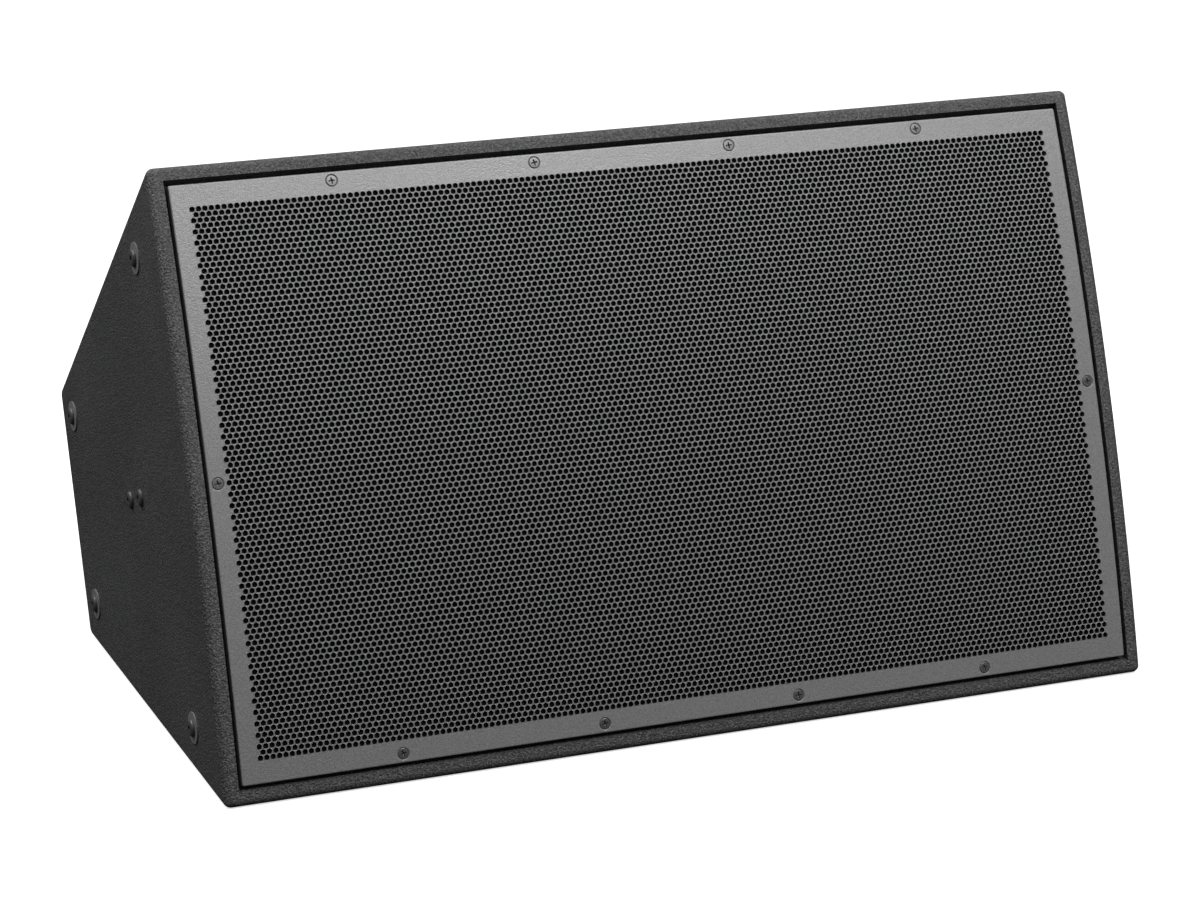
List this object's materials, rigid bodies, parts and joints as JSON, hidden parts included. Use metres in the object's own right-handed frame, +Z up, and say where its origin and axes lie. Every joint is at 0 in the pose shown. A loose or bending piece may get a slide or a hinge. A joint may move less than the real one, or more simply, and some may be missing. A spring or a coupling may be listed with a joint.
{
  "type": "stage monitor wedge",
  "caption": "Two-way stage monitor wedge: slanted plywood cabinet with a bowed, screwed-on perforated steel grille, side rigging bolts and a rear input plate.",
  "frame": {"origin": "centre of the bounding box, on the floor under the bottom face", "axes": "+Z up, +X to the right across the width seen from the front, front faces -Y and leans back 20 degrees"},
  "size_m": [0.7896, 0.4752, 0.4547],
  "materials": {
    "cabinet_paint": "textured satin",
    "baffle_paint": "matte black",
    "birch_ply": "raw birch plywood",
    "grille_paint": "fine satin powder coat",
    "foam_black": "open-cell foam",
    "black_screws": "blackened",
    "washer_steel": "grey coated steel",
    "bolt_steel": "grey coated steel",
    "insert_steel": "zinc plated",
    "basket_cast": "black powder coated casting",
    "gasket_cork": "matte",
    "surround_cloth": "doped cloth",
    "cone_paper": "black pulp",
    "spider_cloth": "impregnated cotton",
    "coil_former": "polyimide film",
    "copper_wire": "enamelled copper",
    "plated_steel": "zinc plated",
    "ferrite": "dark ceramic magnet",
    "terminal_board": "phenolic board",
    "horn_plastic": "moulded, fine texture",
    "plug_alloy": "turned",
    "diaphragm_titanium": "thin titanium",
    "suspension_film": "polyimide film",
    "cover_plastic": "moulded",
    "plate_paint": "black powder coat",
    "socket_plastic": "glass-filled nylon",
    "board_green": "solder-masked laminate",
    "standoff_brass": "turned",
    "capacitor_film": "wrapped film",
    "resistor_cement": "cement filled",
    "cable_jacket": "PVC jacket",
    "wadding": "polyester wadding"
  },
  "bodies": {
    "cabinet": {"side_panel_left": "cabinet_paint", "side_panel_right": "cabinet_paint", "top_panel": "cabinet_paint", "bottom_panel": "cabinet_paint", "rear_panel": "cabinet_paint", "baffle": "baffle_paint", "baffle_cleats": "birch_ply", "window_brace": "birch_ply", "port_duct_upper": "birch_ply", "port_duct_lower": "birch_ply", "grille_frame": "baffle_paint", "grille": "grille_paint", "grille_foam": "foam_black", "grille_screws": "black_screws", "rigging_washers": "washer_steel", "rigging_bolts": "bolt_steel", "yoke_bolts": "bolt_steel", "threaded_inserts": "insert_steel", "woofer_basket": "basket_cast", "woofer_gasket": "gasket_cork", "woofer_surround": "surround_cloth", "woofer_spider": "spider_cloth", "woofer_top_plate": "plated_steel", "woofer_magnet": "ferrite", "woofer_yoke": "plated_steel", "woofer_terminals": "terminal_board", "woofer_screws": "black_screws", "horn": "horn_plastic", "horn_screws": "black_screws", "driver_gasket": "gasket_cork", "driver_front_plate": "plated_steel", "driver_magnet": "ferrite", "driver_top_plate": "plated_steel", "phase_plug": "plug_alloy", "driver_suspension": "suspension_film", "driver_mounting_ring": "plug_alloy", "driver_cover": "cover_plastic", "driver_screws": "black_screws", "input_plate": "plate_paint", "input_sockets": "socket_plastic", "input_plate_screws": "black_screws", "socket_screws": "black_screws", "crossover_board": "board_green", "crossover_standoffs": "standoff_brass", "crossover_coils": "copper_wire", "crossover_capacitors": "capacitor_film", "crossover_resistors": "resistor_cement", "input_cable": "cable_jacket", "woofer_cable": "cable_jacket", "driver_cable": "cable_jacket", "lining_lower": "wadding", "lining_upper": "wadding", "lining_side": "wadding"},
    "woofer_moving": {"woofer_cone": "cone_paper", "woofer_dust_cap": "cone_paper", "woofer_former": "coil_former", "woofer_voice_coil": "copper_wire"},
    "driver_moving": {"driver_diaphragm": "diaphragm_titanium", "driver_voice_coil": "copper_wire"}
  },
  "joints": [
    {"name": "cone_stroke", "type": "slide", "parent": "cabinet", "child": "woofer_moving", "axis": [0, -0.9397, 0.342], "range_m": [-0.008, 0.008], "stiffness_N_per_m": 5000, "deforming": ["woofer_surround", "woofer_spider"]},
    {"name": "diaphragm_stroke", "type": "slide", "parent": "cabinet", "child": "driver_moving", "axis": [0, -0.9397, 0.342], "range_m": [-0.0004, 0.0004], "stiffness_N_per_m": 20000, "deforming": ["driver_suspension"]}
  ]
}
